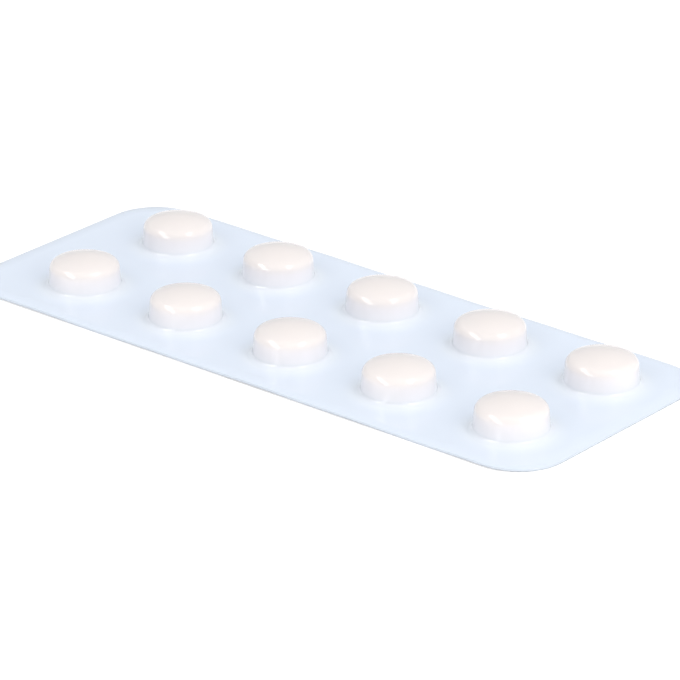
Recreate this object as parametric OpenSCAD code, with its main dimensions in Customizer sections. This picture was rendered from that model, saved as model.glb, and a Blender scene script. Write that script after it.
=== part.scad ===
// Tablet blister pack: a formed film card with ten domed pockets, a foil
// sealed flat across its back, and a loose round tablet in each pocket.
// The card lies on its foil. The origin is the middle of the underside,
// X runs along the card, Y across it and Z up through the pockets.

/* [Card] */
// Length of the card
card_l = 96.5; // [94:0.5:120]
// Width of the card
card_w = 39; // [37:0.5:60]
// Radius of the card's corners
corner_r = 6.8; // [1:0.1:10]

/* [Sheets] */
// Thickness of the film where it is flat
film_t = 0.25; // [0.15:0.01:0.5]
// Thickness of the film where it is drawn into a pocket
pocket_t = 0.18; // [0.1:0.01:0.3]
// Thickness of the foil with its lacquer
foil_t = 0.03; // [0.02:0.005:0.1]

/* [Rows] */
// Distance between neighbouring pockets along the card
pitch_l = 18; // [15:0.1:19]
// Distance between the two rows
pitch_w = 18.6; // [15:0.1:20]
// How far the rows sit off the card's middle, which leaves one end bare
grid_shift = 2; // [0:0.1:3]

/* [Pockets] */
// Gap between a tablet's band and the pocket wall
side_gap = 0.25; // [0.1:0.05:0.8]
// Gap between the top of a tablet and the dome above it
head_gap = 0.42; // [0.1:0.02:1]
// Lean of the pocket wall from upright, in degrees
wall_draft = 4.5; // [3:0.5:12]
// Outer radius of the rounding between wall and dome
shoulder_r = 1.2; // [1:0.1:2.2]
// Outer radius of the dome
crown_r = 12; // [9:0.5:24]
// Outer radius of the fillet at the pocket's foot
foot_r = 0.7; // [0.5:0.1:1.6]

/* [Tablets] */
// Diameter of a tablet
tablet_d = 8.6; // [7:0.1:9.4]
// Thickness of a tablet through its middle
tablet_t = 4; // [3.2:0.1:4.6]
// Height of the straight band round a tablet
band_h = 1.4; // [0.8:0.1:2]
// Rounding of the coating between band and dome
tablet_edge_r = 0.35; // [0.1:0.05:0.6]

/* [Hidden] */
$fn = 96;
columns = [1, 2, 3, 4, 5];
rows = [0, 1];
row_names = ["front", "back"];

function tablet_name(row, column) = str("tablet_", row_names[row], "_", column);

// Heights of the film's two flat faces, the foil's upper face being the lower one
film_z = foil_t;
face_z = film_z + film_t;

// Middle of each pocket, counted along the card from its bare end
function pocket_x(column) = grid_shift + (column - (len(columns) + 1) / 2) * pitch_l;
function pocket_y(row) = (row - (len(rows) - 1) / 2) * pitch_w;

// A tablet's shape: a band between two shallow domes
tablet_r = tablet_d / 2;
cup_h = (tablet_t - band_h) / 2;
cup_r = (tablet_r * tablet_r + cup_h * cup_h) / (2 * cup_h);
band_top = film_z + cup_h + band_h;

// The rounding's circle touches the band and the dome from inside
edge_mid = [
    tablet_r - tablet_edge_r,
    tablet_t / 2 - cup_r + sqrt(pow(cup_r - tablet_edge_r, 2) - pow(tablet_r - tablet_edge_r, 2))
];

// The wall leans in along a line that is square to this direction
wall_out = [cos(wall_draft), sin(wall_draft)];
wall_up = [-sin(wall_draft), cos(wall_draft)];
wall_reach = wall_out * [tablet_r + side_gap, band_top] + pocket_t;

// The dome's arc is centred on the pocket's axis, below the card
dome_top = film_z + tablet_t + head_gap + pocket_t;
crown_mid = [0, dome_top - crown_r];

// The shoulder's circle touches the wall and the dome from inside
shoulder_base = (wall_reach - shoulder_r) * wall_out;
shoulder_along = wall_up * (shoulder_base - crown_mid);
shoulder_off = norm(shoulder_base - crown_mid);
shoulder_reach = crown_r - shoulder_r;
shoulder_step = -shoulder_along
    + sqrt(pow(shoulder_along, 2) - pow(shoulder_off, 2) + pow(shoulder_reach, 2));
shoulder_mid = shoulder_base + shoulder_step * wall_up;

// Distance from the pocket's axis, at the height z, of the leaning line at a reach
function wall_x(reach, z) = (reach - z * wall_out[1]) / wall_out[0];

// The foot's two fillets, above and below the film, turn about nearly the same place
mouth_r = foot_r + film_t;
foot_mid_z = face_z + foot_r;
foot_mid = [wall_x(wall_reach + foot_r, foot_mid_z), foot_mid_z];
mouth_mid = [wall_x(wall_reach - pocket_t + mouth_r, foot_mid_z), foot_mid_z];

// The formed patch of film ends a little way out from its foot
patch_rim = 0.3;
patch_r = mouth_mid[0] + patch_rim;
cut_through = 1;

// Half-section under an arc that is centred on the axis, out to the line through
// its middle and the point corner, and standing on the height low
module cap_section(middle, radius, corner, low) {
    lean = (corner - middle) / norm(corner - middle);
    beyond = 2 * radius;
    intersection() {
        translate(middle) circle(radius);
        polygon([
            [0, low], [corner[0], low], corner,
            middle + beyond * lean, middle + [0, beyond]
        ]);
    }
}

// Filled half-section under a pocket's surface, from its axis out to the foot.
// It stands on the height low and lies the distance inset inside the outer face.
module pocket_section(inset, fillet_mid, fillet_r, low) {
    wall_foot = fillet_mid - fillet_r * wall_out;
    wall_top = shoulder_mid + (shoulder_r - inset) * wall_out;
    difference() {
        polygon([
            [0, low], [fillet_mid[0], low], fillet_mid, wall_foot,
            wall_top, shoulder_mid, [0, shoulder_mid[1]]
        ]);
        translate(fillet_mid) circle(fillet_r);
    }
    translate(shoulder_mid) circle(shoulder_r - inset);
    cap_section(crown_mid, crown_r - inset, shoulder_mid, low);
}

// One pocket as a revolved film section: dome, shoulder, wall, foot and a flat rim
module formed_pocket() {
    rotate_extrude() difference() {
        union() {
            pocket_section(0, foot_mid, foot_r, film_z);
            translate([0, film_z]) square([patch_r, film_t]);
        }
        pocket_section(pocket_t, mouth_mid, mouth_r, film_z - cut_through);
    }
}

module card_outline() {
    spread = [card_l / 2 - corner_r, card_w / 2 - corner_r];
    square([card_l, 2 * spread[1]], center = true);
    square([2 * spread[0], card_w], center = true);
    for (x = [-1, 1], y = [-1, 1]) translate([x * spread[0], y * spread[1]]) circle(corner_r);
}

module at_pocket(row, column) {
    translate([pocket_x(column), pocket_y(row), 0]) children();
}

module at_every_pocket() {
    for (row = rows, column = columns) at_pocket(row, column) children();
}

module formed_film() {
    color([0.88, 0.93, 0.99, 0.8]) {
        difference() {
            translate([0, 0, film_z]) linear_extrude(film_t) card_outline();
            at_every_pocket() translate([0, 0, film_z - cut_through])
                cylinder(r = patch_r, h = film_t + 2 * cut_through);
        }
        at_every_pocket() formed_pocket();
    }
}

module lidding_foil() {
    color([0.80, 0.83, 0.87]) linear_extrude(foil_t) card_outline();
}

// Upper half-section of a tablet about its own middle: band, rounding and dome
module half_tablet_section() {
    square([tablet_r, edge_mid[1]]);
    translate(edge_mid) circle(tablet_edge_r);
    cap_section([0, tablet_t / 2 - cup_r], cup_r, edge_mid, 0);
}

module tablet(row, column) {
    color([0.98, 0.95, 0.93]) at_pocket(row, column) translate([0, 0, film_z + tablet_t / 2])
        rotate_extrude() {
            half_tablet_section();
            mirror([0, 1]) half_tablet_section();
        }
}

formed_film();
lidding_foil();
for (row = rows, column = columns)
    tablet(row, column);
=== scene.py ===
# %% [markdown]
# Tablet blister pack
#
# The object is a small card of ten round tablets. A pale, milky blue film is drawn
# into ten domes, a tablet lies loose in each dome, and a thin aluminium foil is
# sealed across the back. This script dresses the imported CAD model, so it starts by
# loading that model as a fixed frame and notes its size.

# %% Frame
import math

import bmesh
import bpy
import numpy as np
from mathutils import Matrix, Vector
from mathutils.geometry import delaunay_2d_cdt


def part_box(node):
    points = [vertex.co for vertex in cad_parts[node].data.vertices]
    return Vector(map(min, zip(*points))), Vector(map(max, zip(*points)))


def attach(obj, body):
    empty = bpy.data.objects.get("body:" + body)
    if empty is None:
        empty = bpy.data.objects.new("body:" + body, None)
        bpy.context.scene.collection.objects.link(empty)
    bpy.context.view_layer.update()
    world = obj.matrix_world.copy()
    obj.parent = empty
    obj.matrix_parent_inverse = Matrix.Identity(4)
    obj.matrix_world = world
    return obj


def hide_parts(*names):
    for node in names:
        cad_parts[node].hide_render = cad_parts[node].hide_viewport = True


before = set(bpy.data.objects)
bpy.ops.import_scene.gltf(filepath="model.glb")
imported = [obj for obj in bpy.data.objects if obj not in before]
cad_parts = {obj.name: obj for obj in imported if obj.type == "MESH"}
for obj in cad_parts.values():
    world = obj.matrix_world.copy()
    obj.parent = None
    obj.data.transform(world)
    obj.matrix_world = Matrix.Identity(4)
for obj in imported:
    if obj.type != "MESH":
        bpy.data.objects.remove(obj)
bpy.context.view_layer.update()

MM = 0.001
film_low, film_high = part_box("formed_film")
card_l, card_w = ((high - low) / MM for low, high in zip(film_low[:2], film_high[:2]))
print("card in mm:", round(card_l, 3), round(card_w, 3))

# %% [markdown]
# Helpers
#
# Blender's shaders work in linear light, while a colour picker gives sRGB, so one
# function turns a hex colour into the numbers that a shader takes. Node trees for
# shapes and for materials are both built by one function that adds a node, sets it
# and links it to the nodes before it.


# %% Colours and nodes
def linear(hex_colour):
    """An sRGB hex colour as the four linear numbers that a shader takes."""
    parts = [int(hex_colour[i : i + 2], 16) / 255 for i in (1, 3, 5)]
    return [p / 12.92 if p <= 0.04045 else ((p + 0.055) / 1.055) ** 2.4 for p in parts] + [1]


def add_node(tree, kind, values=None, links=None, **options):
    """Adds a node, with its options, its sockets' values and what each socket is linked to."""
    node = tree.nodes.new(kind)
    for option, value in options.items():
        setattr(node, option, value)
    for socket, value in (values or {}).items():
        node.inputs[socket].default_value = value
    for socket, sources in (links or {}).items():
        for source in sources if isinstance(sources, list) else [sources]:
            tree.links.new(source, node.inputs[socket])
    return node


print("white is", linear("#ffffff"))

# %% [markdown]
# Camera
#
# The photograph looks along the card from a low angle with a long lens, which keeps
# the far row of domes nearly as large as the near row. The camera is placed by the
# point it looks at, its distance, and its angles round and above the object.

# %% Camera
PHOTO_SIDE = 680
focal_in_pixels = 4355.9
aim = Vector((3.34, -0.94, 0)) * MM
aim_distance = 565.3 * MM
azimuth = math.radians(39.92)
elevation = math.radians(23.45)
back = Vector(
    (
        math.sin(azimuth) * math.cos(elevation),
        -math.cos(azimuth) * math.cos(elevation),
        math.sin(elevation),
    )
)
lens = bpy.data.cameras.new("photo_camera")
lens.sensor_width = 36
lens.lens = focal_in_pixels / PHOTO_SIDE * lens.sensor_width
camera = bpy.data.objects.new("photo_camera", lens)
camera.location = aim + back * aim_distance
camera.rotation_mode = "QUATERNION"
camera.rotation_quaternion = (-back).to_track_quat("-Z", "Y")
bpy.context.scene.collection.objects.link(camera)
bpy.context.scene.camera = camera
print("lens of", round(lens.lens, 1), "mm at", [round(x, 4) for x in camera.location])

# %% [markdown]
# Light and floor
#
# The photograph is a bright product shot: a white floor, a softbox up on the right
# that throws the weak shadows to the left of the domes, and a tall narrow one up on
# the left. Both show as bright marks on the shoulders of the glossy domes. A lamp may
# light only matt surfaces or show only in glossy ones, so that the shading of the walls
# and the bright marks are set apart. The room round them has walls of different
# brightness, which gives the upright walls of the domes their soft change of tone.
# Places are given in the camera's own directions: to its right, towards it, and up.

# %% Softboxes
right = Vector((math.cos(azimuth), math.sin(azimuth), 0))
front = Vector((math.sin(azimuth), -math.cos(azimuth), 0))
up = Vector((0, 0, 1))


def softbox(name, direction, size, watts, shows_as, distance=0.9):
    """A lamp that faces the card from a direction given as right, front and up.

    It shows as gloss, which glossy surfaces alone see, as matt, which they don't, or as both.
    """
    lamp = bpy.data.lights.new(name, "AREA")
    lamp.shape = "RECTANGLE"
    lamp.size, lamp.size_y = size
    lamp.energy = watts
    lamp.color = linear("#fffaf3")[:3]
    way = (right * direction[0] + front * direction[1] + up * direction[2]).normalized()
    tall = way.cross(right).normalized()
    wide = tall.cross(way)
    box = bpy.data.objects.new(name, lamp)
    box.location = way * distance
    box.rotation_mode = "QUATERNION"
    box.rotation_quaternion = Matrix((wide, tall, way)).transposed().to_quaternion()
    box.visible_diffuse = shows_as != "gloss"
    box.visible_glossy = shows_as != "matt"
    bpy.context.scene.collection.objects.link(box)
    print(name, "at", [round(x, 3) for x in box.location])


lamp_plan = {
    "left_strip": ((-0.66, 0.38, 0.6), (0.12, 1.2), 1.05, "both"),
    "left_gloss": ((-0.66, 0.42, 0.56), (0.26, 1.4), 4.2, "gloss"),
    "right_softbox": ((0.42, 0.28, 0.85), (0.2, 0.3), 1.0, "both"),
    "right_gloss": ((0.52, 0.45, 0.72), (0.2, 0.6), 1.3, "gloss"),
    "front_right_fill": ((0.5, 0.75, 0.43), (0.45, 0.45), 2.3, "matt"),
    "front_left_fill": ((-0.4, 0.8, 0.43), (0.45, 0.45), 1.0, "matt"),
    "right_reflector": ((0.95, 0.05, 0.3), (0.4, 0.3), 0.85, "matt"),
    "left_reflector": ((-0.95, 0.05, 0.3), (0.4, 0.3), 0.2, "matt"),
}
for lamp_name, settings in lamp_plan.items():
    softbox(lamp_name, *settings)

# %% World and floor
bpy.context.scene.view_settings.view_transform = "Standard"
world = bpy.data.worlds.new("studio")
bpy.context.scene.world = world
world.use_nodes = True
world.node_tree.nodes.clear()
sky = world.node_tree
room_walls = {
    "back": (-front, 0.84),
    "front": (front, 0.45),
    "left": (-right, 0.72),
    "right": (right, 0.9),
    "ceiling": (up, 0.98),
}
ray_way = add_node(sky, "ShaderNodeTexCoord").outputs["Generated"]
brightness = None
for wall_way, level in room_walls.values():
    facing = add_node(
        sky, "ShaderNodeVectorMath", {1: wall_way}, {0: ray_way}, operation="DOT_PRODUCT"
    )
    ahead = add_node(
        sky, "ShaderNodeMath", {1: 0.0}, {0: facing.outputs["Value"]}, operation="MAXIMUM"
    )
    share = add_node(sky, "ShaderNodeMath", {1: 2.0}, {0: ahead.outputs[0]}, operation="POWER")
    sum_links = {0: share.outputs[0]}
    if brightness:
        sum_links[2] = brightness
    summed = add_node(sky, "ShaderNodeMath", {1: level, 2: 0.0}, sum_links, operation="MULTIPLY_ADD")
    brightness = summed.outputs[0]
room_light = add_node(
    sky, "ShaderNodeBackground", {"Color": linear("#f8fbff")}, {"Strength": brightness}
)
pale_wall = add_node(sky, "ShaderNodeBackground", {"Color": linear("#ffffff"), "Strength": 1.0})
ray = add_node(sky, "ShaderNodeLightPath")
seen = add_node(
    sky,
    "ShaderNodeMixShader",
    links={0: ray.outputs["Is Camera Ray"], 1: room_light.outputs[0], 2: pale_wall.outputs[0]},
)
add_node(sky, "ShaderNodeOutputWorld", links={"Surface": seen.outputs[0]})


def stage_floor(side, drop, glow):
    """A white floor just under the card, lit a little from within as an overexposed sheet looks."""
    half = side / 2
    mesh = bpy.data.meshes.new("white_floor")
    corners = [(-half, -half), (half, -half), (half, half), (-half, half)]
    mesh.from_pydata([(x, y, -drop) for x, y in corners], [], [(0, 1, 2, 3)])
    paper = bpy.data.materials.new("white_paper")
    paper.use_nodes = True
    shader = paper.node_tree.nodes["Principled BSDF"]
    shader.inputs["Base Color"].default_value = linear("#f4f4f4")
    shader.inputs["Roughness"].default_value = 0.9
    shader.inputs["Specular IOR Level"].default_value = 0.1
    shader.inputs["Emission Color"].default_value = linear("#ffffff")
    shader.inputs["Emission Strength"].default_value = glow
    mesh.materials.append(paper)
    floor = bpy.data.objects.new("white_floor", mesh)
    bpy.context.scene.collection.objects.link(floor)
    return floor


floor = stage_floor(6.0, 0.02 * MM, 0.15)
print("floor is", floor.dimensions.x, "m wide")

# %% [markdown]
# Sizes
#
# The shapes repeat the CAD model's own rule, in millimetres: a tablet is a straight
# band between two shallow domes, and a pocket is the tablet's outline with a little
# room, a wall that leans inwards so that the tool can let go of it, a rounded
# shoulder, a shallow crown and a fillet at the foot.

# %% Sizes of the sheets, rows and tablets
corner_r = 6.8
film_t, pocket_t, foil_t = 0.25, 0.18, 0.03
film_z = foil_t
face_z = film_z + film_t
columns, rows = 5, 2
pitch_l, pitch_w, grid_shift = 18.0, 18.6, 2.0
pocket_spots = [
    (grid_shift + (column - (columns - 1) / 2) * pitch_l, (row - (rows - 1) / 2) * pitch_w)
    for row in range(rows)
    for column in range(columns)
]
tablet_d, tablet_t, band_h, tablet_edge_r = 8.6, 4.0, 1.4, 0.35
tablet_r = tablet_d / 2
cup_h = (tablet_t - band_h) / 2
cup_r = (tablet_r**2 + cup_h**2) / (2 * cup_h)
band_top = film_z + cup_h + band_h
print("pockets at", pocket_spots)

# %% Sizes of a pocket
side_gap, head_gap = 0.25, 0.42
wall_draft = math.radians(4.5)
shoulder_r, crown_r, foot_r = 1.2, 12.0, 0.7
wall_out = np.array([math.cos(wall_draft), math.sin(wall_draft)])
wall_up = np.array([-math.sin(wall_draft), math.cos(wall_draft)])
wall_reach = wall_out @ [tablet_r + side_gap, band_top] + pocket_t
dome_top = film_z + tablet_t + head_gap + pocket_t
crown_mid = np.array([0, dome_top - crown_r])
shoulder_base = (wall_reach - shoulder_r) * wall_out
shoulder_along = wall_up @ (shoulder_base - crown_mid)
shoulder_off = np.linalg.norm(shoulder_base - crown_mid)
shoulder_reach = crown_r - shoulder_r
shoulder_step = -shoulder_along + math.sqrt(
    shoulder_along**2 - shoulder_off**2 + shoulder_reach**2
)
shoulder_mid = shoulder_base + shoulder_step * wall_up
foot_mid_z = face_z + foot_r
foot_mid = np.array([(wall_reach + foot_r - foot_mid_z * wall_out[1]) / wall_out[0], foot_mid_z])
mouth_r = (wall_reach - pocket_t + foot_r + film_t - foot_mid_z * wall_out[1]) / wall_out[0]
patch_r = mouth_r + 0.3
print("dome top", round(dome_top, 3), "mouth", round(mouth_r, 3), "patch", round(patch_r, 3))


# %% Arcs and half-sections
def arc(middle, radius, start, end, steps):
    """Points along an arc between two angles in radians, its end left out."""
    turns = np.linspace(start, end, steps, endpoint=False)
    return [(middle[0] + radius * math.cos(t), middle[1] + radius * math.sin(t)) for t in turns]


def line(start, end, steps):
    """Points along a straight line, its end left out."""
    return [tuple(np.array(start) + (np.array(end) - start) * i / steps) for i in range(steps)]


def half_section(points, rim, name):
    """A mesh of edges for Curve to Mesh, which turns it about an axis the distance rim away."""
    mesh = bpy.data.meshes.new(name)
    spots = [((x - rim) * MM, -z * MM, 0) for x, z in points]
    mesh.from_pydata(spots, [(i, i + 1) for i in range(len(spots) - 1)], [])
    return mesh


crown_turn = math.atan2(*(shoulder_mid - crown_mid)[::-1])
shoulder_foot = shoulder_mid + shoulder_r * wall_out
wall_foot = foot_mid - foot_r * wall_out
pocket_points = (
    arc(crown_mid, crown_r, math.pi / 2, crown_turn, 9)
    + arc(shoulder_mid, shoulder_r, crown_turn, wall_draft, 9)
    + line(shoulder_foot, wall_foot, 4)
    + arc(foot_mid, foot_r, math.pi + wall_draft, 1.5 * math.pi, 8)
    + [(foot_mid[0], face_z), (patch_r, face_z)]
)
pocket_section = half_section(pocket_points, patch_r, "pocket_section")
print("pocket section has", len(pocket_points), "points")

# %% Half-section of a tablet
cup_mid = np.array([0, tablet_t / 2 - cup_r])
edge_x = tablet_r - tablet_edge_r
edge_mid = np.array([edge_x, cup_mid[1] + math.sqrt((cup_r - tablet_edge_r) ** 2 - edge_x**2)])
edge_turn = math.atan2(*(edge_mid - cup_mid)[::-1])
upper_half = arc(cup_mid, cup_r, math.pi / 2, edge_turn, 9)
upper_half += arc(edge_mid, tablet_edge_r, edge_turn, 0, 4) + [(tablet_r, edge_mid[1])]
tablet_points = upper_half + [(x, -z) for x, z in reversed(upper_half)]
tablet_section = half_section(tablet_points, tablet_r, "tablet_section")
print("tablet section has", len(tablet_points), "points")

# %% [markdown]
# Node trees for shapes
#
# What repeats by a rule is made with Geometry Nodes: a half-section is turned once,
# and the result is placed on a grid of points. A modifier's inputs are set by the
# identifier of each socket, and the evaluated result is kept as a plain mesh, so
# nothing live is left on the finished piece.


# %% Growing a piece from a tree
def new_tree(name, sockets):
    """A Geometry Nodes tree with a geometry in and out and the named inputs."""
    tree = bpy.data.node_groups.new(name, "GeometryNodeTree")
    tree.interface.new_socket("Geometry", in_out="INPUT", socket_type="NodeSocketGeometry")
    for title, kind in sockets.items():
        tree.interface.new_socket(title, in_out="INPUT", socket_type="NodeSocket" + kind)
    tree.interface.new_socket("Geometry", in_out="OUTPUT", socket_type="NodeSocketGeometry")
    return tree, add_node(tree, "NodeGroupInput").outputs


def linked_object(name, mesh):
    """A new object at the origin with that mesh."""
    made = bpy.data.objects.new(name, mesh)
    bpy.context.scene.collection.objects.link(made)
    return made


def plain_mesh(source, name):
    """The evaluated mesh of an object, with all its attributes, as a plain mesh."""
    graph = bpy.context.evaluated_depsgraph_get()
    made = bpy.data.meshes.new_from_object(
        source.evaluated_get(graph), preserve_all_data_layers=True, depsgraph=graph
    )
    made.name = name
    return made


def grow(name, start, tree, settings):
    """Runs a tree on a mesh, with its inputs set by identifier, and returns a plain object."""
    seed = linked_object(name + "_seed", start)
    modifier = seed.modifiers.new("grow", "NODES")
    modifier.node_group = tree
    for item in tree.interface.items_tree:
        if item.in_out == "INPUT" and item.name in settings:
            modifier[item.identifier] = settings[item.name]
    made = plain_mesh(seed, name)
    bpy.data.objects.remove(seed)
    return linked_object(name, made)


def bake_modifiers(piece):
    """Replaces a piece's mesh by what its modifiers make of it, and removes them."""
    made = plain_mesh(piece, piece.name)
    piece.modifiers.clear()
    piece.data = made


def measure(piece):
    """Prints whether a shell is closed, its volume, which is positive where faces point out."""
    shell = bmesh.new()
    shell.from_mesh(piece.data)
    gaps = sum(not edge.is_manifold for edge in shell.edges)
    volume = shell.calc_volume(signed=True) / MM**3
    triangles = sum(len(face.verts) - 2 for face in shell.faces)
    shell.free()
    print(piece.name, "open edges", gaps, "mm3", round(volume, 2), "triangles", triangles)


# %% Tree that places copies on the grid of pockets
def grid_points(tree, given):
    """Adds the nodes for one point in the middle of every pocket."""
    steps = {}
    for title, count in (("Pitch along", columns), ("Pitch across", rows)):
        scaled = add_node(
            tree, "ShaderNodeMath", {1: count - 1}, {0: given[title]}, operation="MULTIPLY"
        )
        steps[title] = scaled.outputs[0]
    grid = add_node(
        tree,
        "GeometryNodeMeshGrid",
        {"Vertices X": columns, "Vertices Y": rows},
        {"Size X": steps["Pitch along"], "Size Y": steps["Pitch across"]},
    )
    shift = add_node(tree, "ShaderNodeCombineXYZ", links={"X": given["Grid shift"]})
    moved = add_node(
        tree,
        "GeometryNodeSetPosition",
        links={"Geometry": grid.outputs["Mesh"], "Offset": shift.outputs[0]},
    )
    return moved.outputs[0]


def turned_section(tree, given, segments):
    """Adds the nodes that turn the half-section about an upright axis, closed at its poles."""
    section = add_node(tree, "GeometryNodeMeshToCurve", links={"Mesh": given["Geometry"]})
    ring = add_node(
        tree,
        "GeometryNodeCurvePrimitiveCircle",
        {"Resolution": segments},
        {"Radius": given["Rim radius"]},
    )
    turned = add_node(
        tree,
        "GeometryNodeCurveToMesh",
        links={"Curve": ring.outputs[0], "Profile Curve": section.outputs[0]},
    )
    closed = add_node(
        tree,
        "GeometryNodeMergeByDistance",
        {"Distance": 0.002 * MM},
        {"Geometry": turned.outputs[0]},
    )
    return closed.outputs[0]


grid_sockets = {
    "Rim radius": "Float",
    "Pitch along": "Float",
    "Pitch across": "Float",
    "Grid shift": "Float",
}
grid_settings = {
    "Pitch along": pitch_l * MM,
    "Pitch across": pitch_w * MM,
    "Grid shift": grid_shift * MM,
}
print("grid inputs:", list(grid_sockets))

# %% [markdown]
# Wave of the card's long edges
#
# Sealing heats the card, and as it cools the thin web outside the rows of domes pulls
# a little, so the long edges rise and fall by about a tenth of a millimetre. The film
# and the foil are sealed together, so both trees use the same wave.

# %% Wave of the long edges
WAVE_LIFT = 0.16
wave_sockets = {"Half width": "Float", "Pitch along": "Float", "Lift": "Float"}
wave_tree, wave_in = new_tree("edge_wave", wave_sockets)
place = add_node(wave_tree, "GeometryNodeInputPosition")
axes = add_node(wave_tree, "ShaderNodeSeparateXYZ", links={0: place.outputs[0]})
off_middle = add_node(
    wave_tree, "ShaderNodeMath", links={0: axes.outputs["Y"]}, operation="ABSOLUTE"
)
nearness = add_node(
    wave_tree, "ShaderNodeMath", links={0: off_middle.outputs[0], 1: wave_in["Half width"]},
    operation="DIVIDE",
)
edge_share = add_node(
    wave_tree,
    "ShaderNodeMapRange",
    {"From Min": 0.84, "From Max": 1.0},
    {"Value": nearness.outputs[0]},
    interpolation_type="SMOOTHSTEP",
)
steps_along = add_node(
    wave_tree, "ShaderNodeMath", links={0: axes.outputs["X"], 1: wave_in["Pitch along"]},
    operation="DIVIDE",
)
side_of = add_node(wave_tree, "ShaderNodeMath", links={0: axes.outputs["Y"]}, operation="SIGN")
heights = []
for waves, phase, side_phase in ((1.0, 0.6, 0.4), (0.37, 2.1, 1.3)):
    turn = add_node(
        wave_tree,
        "ShaderNodeMath",
        {1: waves * 2 * math.pi, 2: phase},
        {0: steps_along.outputs[0]},
        operation="MULTIPLY_ADD",
    )
    sided = add_node(
        wave_tree,
        "ShaderNodeMath",
        {1: side_phase},
        {0: side_of.outputs[0], 2: turn.outputs[0]},
        operation="MULTIPLY_ADD",
    )
    wave = add_node(wave_tree, "ShaderNodeMath", links={0: sided.outputs[0]}, operation="SINE")
    heights.append(wave.outputs[0])
both = add_node(wave_tree, "ShaderNodeMath", links={0: heights[0], 1: heights[1]}, operation="ADD")
raised = add_node(
    wave_tree, "ShaderNodeMath", {1: 0.25, 2: 0.5}, {0: both.outputs[0]}, operation="MULTIPLY_ADD"
)
at_edge = add_node(
    wave_tree, "ShaderNodeMath", links={0: raised.outputs[0], 1: edge_share.outputs[0]},
    operation="MULTIPLY",
)
lifted = add_node(
    wave_tree, "ShaderNodeMath", links={0: at_edge.outputs[0], 1: wave_in["Lift"]},
    operation="MULTIPLY",
)
rise = add_node(wave_tree, "ShaderNodeCombineXYZ", links={"Z": lifted.outputs[0]})
waved = add_node(
    wave_tree,
    "GeometryNodeSetPosition",
    links={"Geometry": wave_in["Geometry"], "Offset": rise.outputs[0]},
)
add_node(wave_tree, "NodeGroupOutput", links={0: waved.outputs[0]})
wave_settings = {"Half width": card_w / 2 * MM, "Lift": WAVE_LIFT * MM}
print("edge wave lifts by up to", WAVE_LIFT, "mm")


def add_wave(tree, given, geometry):
    """Adds the shared edge wave to a tree, fed from the tree's own inputs."""
    links = {title: given[title] for title in wave_sockets}
    group = add_node(
        tree, "GeometryNodeGroup", links={"Geometry": geometry, **links}, node_tree=wave_tree
    )
    return group.outputs[0]


# %% [markdown]
# Flat sheets
#
# The web between the domes and the foil under it share the card's outline. Both are
# filled with triangles on a grid of points, so that they can bend, and the web has a
# round hole for each dome whose rim has the same points as the dome's own rim.

# %% Flat sheet with rings
def ring_of(middle, radius, segments):
    """Points round a circle, starting on its +X side as Curve Circle does."""
    return arc(middle, radius, 0, 2 * math.pi, segments)


def card_outline(step):
    """The card's outline as a closed loop with points about step apart."""
    half_l, half_w = card_l / 2 - corner_r, card_w / 2 - corner_r
    corners = []
    for quarter, (x, y) in enumerate([(1, 1), (-1, 1), (-1, -1), (1, -1)]):
        middle, turn = (x * half_l, y * half_w), quarter * math.pi / 2
        corner = arc(middle, corner_r, turn, turn + math.pi / 2, 14)
        corners.append(corner + arc(middle, corner_r, turn + math.pi / 2, turn, 1))
    loop = []
    for corner, following in zip(corners, corners[1:] + corners[:1]):
        sides = max(1, round(math.dist(corner[-1], following[0]) / step))
        loop += corner[:-1] + line(corner[-1], following[0], sides)
    return loop


def web_points(step, clear_of):
    """Points on a grid over the card, clear of its outline and of every pocket."""
    found = []
    spots = np.array(pocket_spots)
    for x in np.arange(-card_l / 2 + step, card_l / 2, step):
        for y in np.arange(-card_w / 2 + step, card_w / 2, step):
            beyond_x = max(abs(x) - card_l / 2 + corner_r, 0)
            beyond_y = max(abs(y) - card_w / 2 + corner_r, 0)
            inside = math.hypot(beyond_x, beyond_y) < corner_r - 0.4 * step
            if inside and np.hypot(*(spots - (x, y)).T).min() > clear_of:
                found.append((x, y))
    return found


def flat_sheet(name, ring_radii, segments, hole_r, height, step):
    """A sheet in the card's outline, with rings of points round each pocket, open inside hole_r."""
    loops = [card_outline(step)]
    loops += [ring_of(spot, radius, segments) for spot in pocket_spots for radius in ring_radii]
    points, edges = [], []
    for loop in loops:
        first = len(points)
        points += loop
        edges += [(first + i, first + (i + 1) % len(loop)) for i in range(len(loop))]
    points += web_points(step, max(ring_radii) + 0.5 * step)
    flat, _, faces, *_ = delaunay_2d_cdt([Vector(p) for p in points], edges, [], 1, 1e-6)
    spots = np.array(pocket_spots)
    middles = np.array([np.mean([flat[i][:] for i in face], axis=0) for face in faces])
    away = np.min([np.hypot(*(middles - spot).T) for spot in spots], axis=0)
    kept = [face for face, distance in zip(faces, away) if distance > hole_r]
    used = sorted({i for face in kept for i in face})
    number = {old: new for new, old in enumerate(used)}
    mesh = bpy.data.meshes.new(name)
    mesh.from_pydata(
        [(flat[i][0] * MM, flat[i][1] * MM, height * MM) for i in used],
        [],
        [[number[i] for i in face] for face in kept],
    )
    return mesh


RIM_SEGMENTS = 72
web_rings = [patch_r + step for step in (0, 0.35, 0.7, 1.05, 1.4, 1.9)]
web_mesh = flat_sheet("web", web_rings, RIM_SEGMENTS, patch_r, face_z, 2.0)
print("web has", len(web_mesh.polygons), "triangles, facing", web_mesh.polygons[0].normal[:])

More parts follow.
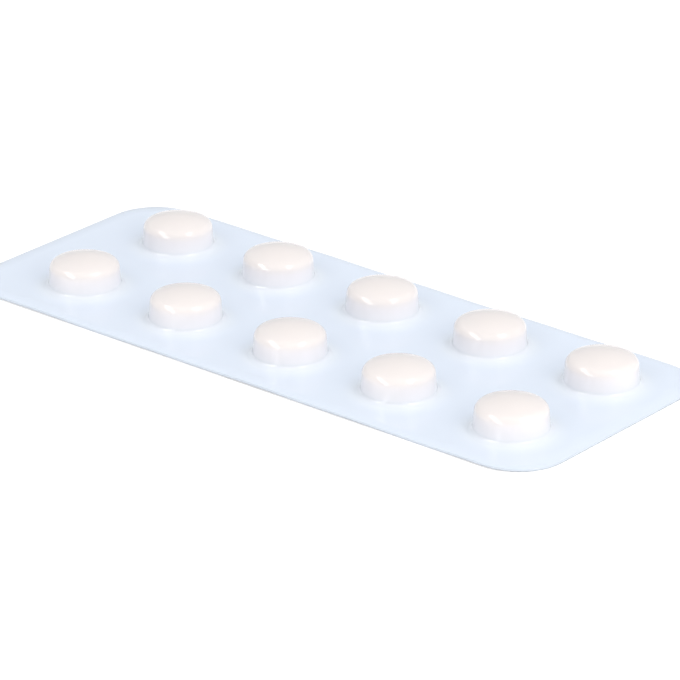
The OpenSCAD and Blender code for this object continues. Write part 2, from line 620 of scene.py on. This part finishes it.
# %% [markdown]
# Finish of the film
#
# The film is opalescent PVC, about a quarter of a millimetre thick, rolled to a soft
# gloss and then heated and drawn into the domes. Where it is drawn it gets thinner,
# so its milky blue fades and the cream of the tablet comes through. The dome's own
# height is kept as an attribute named draw, and it fades the colour and the cover.
# PVC has an IOR of 1.53. The rolled gloss is slightly uneven under a thin, smoother
# skin, and the rolls leave a very fine ripple, drawn coarser here than the real one so
# that it shows at all. The punched edge is a raw cut and lets no light through, so its
# faces are marked by an attribute named cut, which makes them solid and greyer; the
# grey is painted shade for the shadowed line along the card's edge.

# %% Starting a finish
def per_mm(size):
    """The scale of a pattern whose features are that many millimetres apart."""
    return 1 / (size * MM)


def new_finish(name):
    """A new material with only its surface node and the object's own coordinates."""
    made = bpy.data.materials.new(name)
    made.use_nodes = True
    tree = made.node_tree
    tree.nodes.clear()
    coordinates = add_node(tree, "ShaderNodeTexCoord")
    return made, tree, coordinates.outputs["Object"]


def ramp(tree, factor, stops):
    """Adds a colour ramp with stops given as place and colour, and returns its colour."""
    node = add_node(tree, "ShaderNodeValToRGB", links={"Fac": factor})
    points = node.color_ramp.elements
    while len(points) < len(stops):
        points.new(0.5)
    for point, (place, colour) in zip(points, stops):
        point.position, point.color = place, colour
    return node.outputs["Color"]


def grey(value):
    """A ramp colour that carries one plain number."""
    return [value, value, value, 1]


print("a pattern with features 1 mm apart has the scale", per_mm(1))

# %% Thermoformed PVC
thermoformed_pvc, pvc, pvc_at = new_finish("thermoformed_pvc")
draw = add_node(pvc, "ShaderNodeAttribute", attribute_name="draw").outputs["Fac"]
cut = add_node(pvc, "ShaderNodeAttribute", attribute_name="cut").outputs["Fac"]
drawn_milk = ramp(
    pvc,
    draw,
    [
        (0.0, linear("#e6effc")),
        (0.03, linear("#edf4fd")),
        (0.09, linear("#eff4fc")),
        (0.22, linear("#f5f5fa")),
        (0.5, linear("#f8f5f8")),
        (0.72, linear("#faf4f2")),
        (1.0, linear("#faf3f0")),
    ],
)
# painted shade: faces on the cut edge are mixed to a darker grey, which stands for the shadowed line along
# the card's edge
milk_and_edge_shade = add_node(
    pvc,
    "ShaderNodeMix",
    {"B": linear("#c8d1dc")},
    {"Factor": cut, "A": drawn_milk},
    data_type="RGBA",
)
drawn_cover = ramp(
    pvc, draw, [(0.0, grey(0.86)), (0.25, grey(0.84)), (0.75, grey(0.76)), (1.0, grey(0.7))]
)
cover = add_node(
    pvc, "ShaderNodeMath", {2: 1.0}, {0: drawn_cover, 1: cut}, operation="ADD", use_clamp=True
)
gloss = add_node(pvc, "ShaderNodeTexNoise", {"Scale": per_mm(4), "Detail": 2}, {"Vector": pvc_at})
evenness = add_node(
    pvc, "ShaderNodeMapRange", {"To Min": 0.1, "To Max": 0.15}, {"Value": gloss.outputs["Fac"]}
)
ripple = add_node(pvc, "ShaderNodeTexNoise", {"Scale": per_mm(1.6), "Detail": 3}, {"Vector": pvc_at})
rolled = add_node(
    pvc, "ShaderNodeBump", {"Strength": 0.5, "Distance": 0.006 * MM}, {"Height": ripple.outputs["Fac"]}
)
film_surface = add_node(
    pvc,
    "ShaderNodeBsdfPrincipled",
    {"IOR": 1.53, "Coat Weight": 0.4, "Coat Roughness": 0.08},
    {
        "Base Color": milk_and_edge_shade.outputs[2],
        "Alpha": cover.outputs[0],
        "Roughness": evenness.outputs[0],
        "Normal": rolled.outputs[0],
    },
)
add_node(pvc, "ShaderNodeOutputMaterial", links={"Surface": film_surface.outputs[0]})
print("film finish has", len(pvc.nodes), "nodes")

# %% [markdown]
# Formed film
#
# The half-section of one pocket is turned into a dome, placed on every point of the
# grid and welded to the flat web, whose holes have matching rims. Drawing the domes
# also pulls the web up a little in a ring round each foot. That gives one sheet
# without thickness. Solidify then makes it a closed shell, thinner where the film is
# drawn, and a small bevel takes the sharpness off the punched outer edge.

# %% Tree of the film
# The ring's start and end as shares of the rim's radius, and its top as one of the dome's height
RING_START, RING_END, RING_TOP = 0.89, 1.3, 0.16
film_tree, given = new_tree(
    "blister_film",
    {
        **grid_sockets,
        **{title: kind for title, kind in wave_sockets.items() if title not in grid_sockets},
        "Face height": "Float",
        "Dome height": "Float",
        "Flange rise": "Float",
        "Web": "Object",
        "Material": "Material",
    },
)
dome = turned_section(film_tree, given, RIM_SEGMENTS)
domes = add_node(
    film_tree,
    "GeometryNodeInstanceOnPoints",
    links={"Points": grid_points(film_tree, given), "Instance": dome},
)
real_domes = add_node(film_tree, "GeometryNodeRealizeInstances", links={0: domes.outputs[0]})
flat_web = add_node(film_tree, "GeometryNodeObjectInfo", links={"Object": given["Web"]})
joined = add_node(
    film_tree,
    "GeometryNodeJoinGeometry",
    links={0: [real_domes.outputs[0], flat_web.outputs["Geometry"]]},
)
welded = add_node(
    film_tree, "GeometryNodeMergeByDistance", {"Distance": 0.01 * MM}, {"Geometry": joined.outputs[0]}
)
point = add_node(film_tree, "GeometryNodeInputPosition")
height = add_node(film_tree, "ShaderNodeSeparateXYZ", links={0: point.outputs[0]})
drawn = add_node(
    film_tree,
    "ShaderNodeMapRange",
    links={
        "Value": height.outputs["Z"],
        "From Min": given["Face height"],
        "From Max": given["Dome height"],
    },
)
nearest = add_node(
    film_tree,
    "GeometryNodeProximity",
    links={"Geometry": grid_points(film_tree, given)},
    target_element="POINTS",
)
rims_away = add_node(
    film_tree,
    "ShaderNodeMath",
    links={0: nearest.outputs["Distance"], 1: given["Rim radius"]},
    operation="DIVIDE",
)
beyond_foot = add_node(
    film_tree,
    "ShaderNodeMapRange",
    {"From Min": RING_START, "From Max": RING_END, "To Min": 1, "To Max": 0},
    {"Value": rims_away.outputs[0]},
)
by_the_foot = add_node(
    film_tree, "ShaderNodeMath", {1: 2.0}, {0: beyond_foot.outputs[0]}, operation="POWER"
)
low_down = add_node(
    film_tree,
    "ShaderNodeMapRange",
    {"From Min": 0.0, "From Max": RING_TOP, "To Min": 1, "To Max": 0},
    {"Value": drawn.outputs[0]},
    interpolation_type="SMOOTHSTEP",
)
ring = add_node(
    film_tree,
    "ShaderNodeMath",
    links={0: by_the_foot.outputs[0], 1: low_down.outputs[0]},
    operation="MULTIPLY",
)
ring_height = add_node(
    film_tree,
    "ShaderNodeMath",
    links={0: ring.outputs[0], 1: given["Flange rise"]},
    operation="MULTIPLY",
)
ring_offset = add_node(film_tree, "ShaderNodeCombineXYZ", links={"Z": ring_height.outputs[0]})
ringed = add_node(
    film_tree,
    "GeometryNodeSetPosition",
    links={"Geometry": welded.outputs[0], "Offset": ring_offset.outputs[0]},
)
marked = add_node(
    film_tree,
    "GeometryNodeStoreNamedAttribute",
    {"Name": "draw"},
    {"Geometry": ringed.outputs[0], "Value": drawn.outputs[0]},
)
smooth = add_node(
    film_tree,
    "GeometryNodeSetShadeSmooth",
    links={"Geometry": add_wave(film_tree, given, marked.outputs[0])},
)
solid = add_node(film_tree, "GeometryNodeRealizeInstances", links={0: smooth.outputs[0]})
finished = add_node(
    film_tree,
    "GeometryNodeSetMaterial",
    links={"Geometry": solid.outputs[0], "Material": given["Material"]},
)
add_node(film_tree, "NodeGroupOutput", links={0: finished.outputs[0]})
print("film tree has", len(film_tree.nodes), "nodes")

# %% Film as a closed shell
CUT_REACH = 0.06
THINNEST_FROM = 0.25


def mark_cut_edge(piece, reach):
    """Marks the faces on a sheet's punched edge, those within reach millimetres of its outline."""
    middles = np.array([face.center[:2] for face in piece.data.polygons]) / MM
    beyond = np.abs(middles) - (card_l / 2 - corner_r, card_w / 2 - corner_r)
    inset = corner_r - np.hypot(*np.maximum(beyond, 0).T)
    mark = piece.data.attributes.new("cut", "FLOAT", "FACE")
    mark.data.foreach_set("value", (inset < reach).astype(np.float32))
    print(piece.name, "has", int((inset < reach).sum()), "faces on its cut edge")


web = linked_object("web", web_mesh)
film = grow(
    "thermoformed_film",
    pocket_section,
    film_tree,
    {
        **grid_settings,
        **wave_settings,
        "Rim radius": patch_r * MM,
        "Face height": face_z * MM,
        "Dome height": dome_top * MM,
        "Flange rise": 0.2 * MM,
        "Web": web,
        "Material": thermoformed_pvc,
    },
)
bpy.data.objects.remove(web)
depth = np.zeros(len(film.data.vertices), np.float32)
film.data.attributes["draw"].data.foreach_get("value", depth)
gauge = film.vertex_groups.new(name="full_gauge")
for index, share in enumerate(1 - np.clip(depth / THINNEST_FROM, 0, 1)):
    gauge.add([index], float(share), "REPLACE")
wall = film.modifiers.new("wall", "SOLIDIFY")
wall.thickness = film_t * MM
wall.offset = -1
wall.vertex_group = gauge.name
wall.thickness_vertex_group = pocket_t / film_t
punched = film.modifiers.new("punched_edge", "BEVEL")
punched.width = 0.04 * MM
punched.segments = 2
punched.limit_method = "ANGLE"
punched.angle_limit = math.radians(60)
bake_modifiers(film)
film.vertex_groups.clear()
mark_cut_edge(film, CUT_REACH)
measure(film)

# %% [markdown]
# Finish of the foil
#
# The foil is hard aluminium, 0.02 mm thick, with a heat-seal lacquer. Rolling leaves
# it satin with faint lines along the roll. The sealing plate presses a fine grid of
# dots into it everywhere but under the pockets, where the foil stays smooth. The dots
# are about a millimetre apart, and Voronoi cells without randomness make such a grid.
# The floor of each dot is a little darker, as its sides shade it.

# %% Lacquered aluminium
lacquered_aluminium, foil_look, foil_at = new_finish("lacquered_aluminium")
sealed = add_node(foil_look, "ShaderNodeAttribute", attribute_name="sealed").outputs["Fac"]
diagonal = add_node(
    foil_look, "ShaderNodeMapping", {"Rotation": (0, 0, math.radians(45))}, {"Vector": foil_at}
)
dots = add_node(
    foil_look,
    "ShaderNodeTexVoronoi",
    {"Scale": per_mm(0.9), "Randomness": 0},
    {"Vector": diagonal.outputs[0]},
    voronoi_dimensions="2D",
)
dot_press = add_node(
    foil_look,
    "ShaderNodeMath",
    links={0: dots.outputs["Distance"], 1: sealed},
    operation="MULTIPLY",
)
dot_floor = add_node(
    foil_look,
    "ShaderNodeMapRange",
    {"From Min": 0.16, "From Max": 0.36, "To Min": 1, "To Max": 0},
    {"Value": dots.outputs["Distance"]},
    interpolation_type="SMOOTHSTEP",
)
dot_shade = add_node(
    foil_look, "ShaderNodeMath", links={0: dot_floor.outputs[0], 1: sealed}, operation="MULTIPLY"
)
stretched = add_node(
    foil_look, "ShaderNodeMapping", {"Scale": (0.04, 1, 1)}, {"Vector": foil_at}
)
roll_lines = add_node(
    foil_look, "ShaderNodeTexNoise", {"Scale": per_mm(0.35), "Detail": 3}, {"Vector": stretched.outputs[0]}
)
satin = add_node(
    foil_look, "ShaderNodeMapRange", {"To Min": 0.26, "To Max": 0.42}, {"Value": roll_lines.outputs["Fac"]}
)
pressed = add_node(
    foil_look, "ShaderNodeBump", {"Strength": 0.8, "Distance": 0.06 * MM}, {"Height": dot_press.outputs[0]}
)
lined = add_node(
    foil_look,
    "ShaderNodeBump",
    {"Strength": 0.3, "Distance": 0.004 * MM},
    {"Height": roll_lines.outputs["Fac"], "Normal": pressed.outputs[0]},
)
rolled_colour = ramp(
    foil_look, roll_lines.outputs["Fac"], [(0.3, linear("#d7dbe1")), (0.7, linear("#e3e6ea"))]
)
metal_colour = add_node(
    foil_look,
    "ShaderNodeMix",
    {"B": linear("#b4bcc6")},
    {"Factor": dot_shade.outputs[0], "A": rolled_colour},
    data_type="RGBA",
)
foil_surface = add_node(
    foil_look,
    "ShaderNodeBsdfPrincipled",
    {"Metallic": 1.0, "Coat Weight": 0.3, "Coat Roughness": 0.3},
    {
        "Base Color": metal_colour.outputs[2],
        "Roughness": satin.outputs[0],
        "Normal": lined.outputs[0],
    },
)
add_node(foil_look, "ShaderNodeOutputMaterial", links={"Surface": foil_surface.outputs[0]})
print("foil finish has", len(foil_look.nodes), "nodes")

# %% [markdown]
# Lidding foil
#
# The foil is flat where it is sealed. Under each pocket it is free, and the sealing
# leaves it drawn up very slightly round the tablet's foot, which shows from below as
# a soft ring. The tree measures each point's distance from the nearest pocket for
# both the ring and the mask of the sealed area.

# %% Tree of the foil
FREE_R = 5.5
foil_tree, given = new_tree(
    "lidding_foil_sheet",
    {
        **{title: kind for title, kind in grid_sockets.items() if title != "Rim radius"},
        **{title: kind for title, kind in wave_sockets.items() if title not in grid_sockets},
        "Ring rise": "Float",
        "Free radius": "Float",
        "Material": "Material",
    },
)
nearest = add_node(
    foil_tree,
    "GeometryNodeProximity",
    links={"Geometry": grid_points(foil_tree, given)},
    target_element="POINTS",
)
away = add_node(
    foil_tree,
    "ShaderNodeMath",
    links={0: nearest.outputs["Distance"], 1: given["Free radius"]},
    operation="DIVIDE",
)
# The ring's inner slope, its outer slope and the sealed area, as shares of the free radius
shares = [
    add_node(
        foil_tree,
        "ShaderNodeMapRange",
        {"From Min": low, "From Max": high, "To Min": first, "To Max": last},
        {"Value": away.outputs[0]},
        interpolation_type="SMOOTHSTEP",
    ).outputs[0]
    for low, high, first, last in ((0.2, 0.62, 0, 1), (0.72, 0.99, 1, 0), (0.99, 1.04, 0, 1))
]
ring = add_node(
    foil_tree, "ShaderNodeMath", links={0: shares[0], 1: shares[1]}, operation="MULTIPLY"
)
ring_height = add_node(
    foil_tree, "ShaderNodeMath", links={0: ring.outputs[0], 1: given["Ring rise"]}, operation="MULTIPLY"
)
ring_offset = add_node(foil_tree, "ShaderNodeCombineXYZ", links={"Z": ring_height.outputs[0]})
marked = add_node(
    foil_tree,
    "GeometryNodeStoreNamedAttribute",
    {"Name": "sealed"},
    {"Geometry": given["Geometry"], "Value": shares[2]},
)
ringed = add_node(
    foil_tree,
    "GeometryNodeSetPosition",
    links={"Geometry": marked.outputs[0], "Offset": ring_offset.outputs[0]},
)
smooth = add_node(
    foil_tree,
    "GeometryNodeSetShadeSmooth",
    links={"Geometry": add_wave(foil_tree, given, ringed.outputs[0])},
)
solid = add_node(foil_tree, "GeometryNodeRealizeInstances", links={0: smooth.outputs[0]})
finished = add_node(
    foil_tree,
    "GeometryNodeSetMaterial",
    links={"Geometry": solid.outputs[0], "Material": given["Material"]},
)
add_node(foil_tree, "NodeGroupOutput", links={0: finished.outputs[0]})
print("foil tree has", len(foil_tree.nodes), "nodes")

# %% Foil as a closed shell
SHEET_GAP = 0.002
ring_radii = [1.2, 2.0, 2.8, 3.5, 4.1, 4.6, 5.0, FREE_R, FREE_R * 1.05]
foil_mesh = flat_sheet("foil_start", ring_radii, 48, 0, foil_t - SHEET_GAP, 2.0)
foil = grow(
    "sealed_foil",
    foil_mesh,
    foil_tree,
    {
        **grid_settings,
        **wave_settings,
        "Ring rise": 0.05 * MM,
        "Free radius": FREE_R * MM,
        "Material": lacquered_aluminium,
    },
)
sheet = foil.modifiers.new("sheet", "SOLIDIFY")
sheet.thickness = (foil_t - SHEET_GAP) * MM
sheet.offset = -1
bake_modifiers(foil)
foil.data.set_sharp_from_angle(angle=math.radians(50))
measure(foil)

# %% [markdown]
# Finish of the tablets
#
# The tablets are pressed powder with a thin cream film coat, sprayed on while they
# tumble. The coat is smooth but not glossy, has a very fine orange peel from the
# spray droplets, and is a shade thinner and paler in places. The real peel is about
# 0.1 mm across, and it is drawn at 0.3 mm so that it shows.

# %% Film-coated tablet
film_coated_powder, coat, coat_at = new_finish("film_coated_powder")
shade = add_node(coat, "ShaderNodeTexNoise", {"Scale": per_mm(2.5), "Detail": 4}, {"Vector": coat_at})
cream = ramp(coat, shade.outputs["Fac"], [(0.3, linear("#f9eadf")), (0.7, linear("#fcf0e6"))])
peel = add_node(coat, "ShaderNodeTexNoise", {"Scale": per_mm(0.3), "Detail": 2}, {"Vector": coat_at})
satin = add_node(
    coat, "ShaderNodeMapRange", {"To Min": 0.36, "To Max": 0.5}, {"Value": peel.outputs["Fac"]}
)
peeled = add_node(
    coat, "ShaderNodeBump", {"Strength": 0.4, "Distance": 0.01 * MM}, {"Height": peel.outputs["Fac"]}
)
tablet_surface = add_node(
    coat,
    "ShaderNodeBsdfPrincipled",
    {"IOR": 1.48},
    {"Base Color": cream, "Roughness": satin.outputs[0], "Normal": peeled.outputs[0]},
)
add_node(coat, "ShaderNodeOutputMaterial", links={"Surface": tablet_surface.outputs[0]})
print("tablet finish has", len(coat.nodes), "nodes")

# %% [markdown]
# Tablets
#
# Ten equal tablets lie loose in the pockets, so none sits exactly in the middle of
# its pocket. One half-section is turned into a tablet, placed on the grid of pockets,
# and moved by less than the gap to the wall, with a fixed seed.

# %% Tree of the tablets
tablet_tree, given = new_tree(
    "coated_tablets",
    {**grid_sockets, "Middle height": "Float", "Play": "Float", "Seed": "Int", "Material": "Material"},
)
tablet = turned_section(tablet_tree, given, 64)
least = add_node(
    tablet_tree, "ShaderNodeMath", {1: -1.0}, {0: given["Play"]}, operation="MULTIPLY"
)
corner_low = add_node(
    tablet_tree,
    "ShaderNodeCombineXYZ",
    links={"X": least.outputs[0], "Y": least.outputs[0], "Z": given["Middle height"]},
)
corner_high = add_node(
    tablet_tree,
    "ShaderNodeCombineXYZ",
    links={"X": given["Play"], "Y": given["Play"], "Z": given["Middle height"]},
)
slide = add_node(
    tablet_tree,
    "FunctionNodeRandomValue",
    links={0: corner_low.outputs[0], 1: corner_high.outputs[0], "Seed": given["Seed"]},
    data_type="FLOAT_VECTOR",
)
loose_points = add_node(
    tablet_tree,
    "GeometryNodeSetPosition",
    links={"Geometry": grid_points(tablet_tree, given), "Offset": slide.outputs[0]},
)
placed = add_node(
    tablet_tree,
    "GeometryNodeInstanceOnPoints",
    links={"Points": loose_points.outputs[0], "Instance": tablet},
)
smooth = add_node(
    tablet_tree, "GeometryNodeSetShadeSmooth", links={"Geometry": placed.outputs[0]}
)
solid = add_node(tablet_tree, "GeometryNodeRealizeInstances", links={0: smooth.outputs[0]})
finished = add_node(
    tablet_tree,
    "GeometryNodeSetMaterial",
    links={"Geometry": solid.outputs[0], "Material": given["Material"]},
)
add_node(tablet_tree, "NodeGroupOutput", links={0: finished.outputs[0]})
print("tablet tree has", len(tablet_tree.nodes), "nodes")

# %% Tablets in their pockets
tablets = grow(
    "coated_tablets",
    tablet_section,
    tablet_tree,
    {
        **grid_settings,
        "Rim radius": tablet_r * MM,
        "Middle height": (film_z + tablet_t / 2) * MM,
        "Play": 0.1 * MM,
        "Seed": 4,
        "Material": film_coated_powder,
    },
)
measure(tablets)

# %% [markdown]
# Hand the pieces to the frame
#
# The card has no joints, so every piece rides on its one body. Each piece stands for
# the CAD nodes that it dresses, which are hidden and stay in the frame for collision.

# %% Ride and replace
tablet_nodes = sorted(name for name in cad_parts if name.startswith("tablet_"))
for piece, nodes, slot in (
    (film, ["formed_film"], "formed_film"),
    (foil, ["lidding_foil"], "lidding_foil"),
    (tablets, tablet_nodes, "tablet_coating"),
):
    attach(piece, "root")
    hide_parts(*nodes)
print("tablets stand for", len(tablet_nodes), "nodes")
